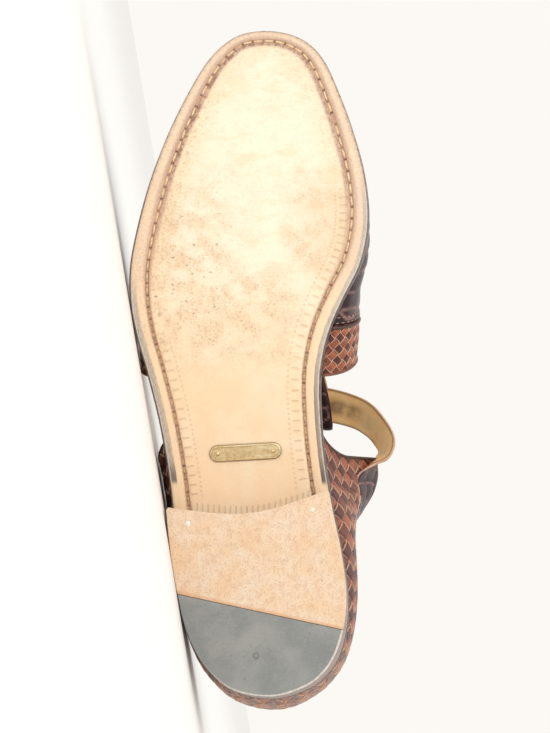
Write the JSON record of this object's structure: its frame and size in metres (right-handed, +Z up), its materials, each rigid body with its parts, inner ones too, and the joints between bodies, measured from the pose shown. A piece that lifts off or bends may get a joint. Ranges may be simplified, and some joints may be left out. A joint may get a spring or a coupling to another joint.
{
  "type": "woven sandal",
  "caption": "Right woven-leather sandal with a closed crocodile-grain toe, open sides and a looped ankle strap, lying on its outer side with its leather sole showing.",
  "frame": {"origin": "on the floor, under the middle of the box of the sandal as it lies on its outer side", "axes": "+Z up from the floor, +X towards the heel, along the longest extent, -Y the way the sole faces"},
  "size_m": [0.3112, 0.1084, 0.1154],
  "materials": {
    "sole_leather": "natural",
    "insole_leather": "natural",
    "heel_leather": "dyed",
    "heel_rubber": "worn",
    "upper_leather": "polished",
    "nail_steel": "bright",
    "plate_brass": "satin"
  },
  "bodies": {
    "root": {"outsole": "sole_leather", "insole": "insole_leather", "heel_stack": "heel_leather", "heel_lift_leather": "sole_leather", "heel_tip_rubber": "heel_rubber", "upper": "upper_leather", "heel_nail_outer": "nail_steel", "heel_nail_inner": "nail_steel", "waist_plaque": "plate_brass", "plaque_pin_outer": "plate_brass", "plaque_pin_inner": "plate_brass"}
  },
  "joints": []
}
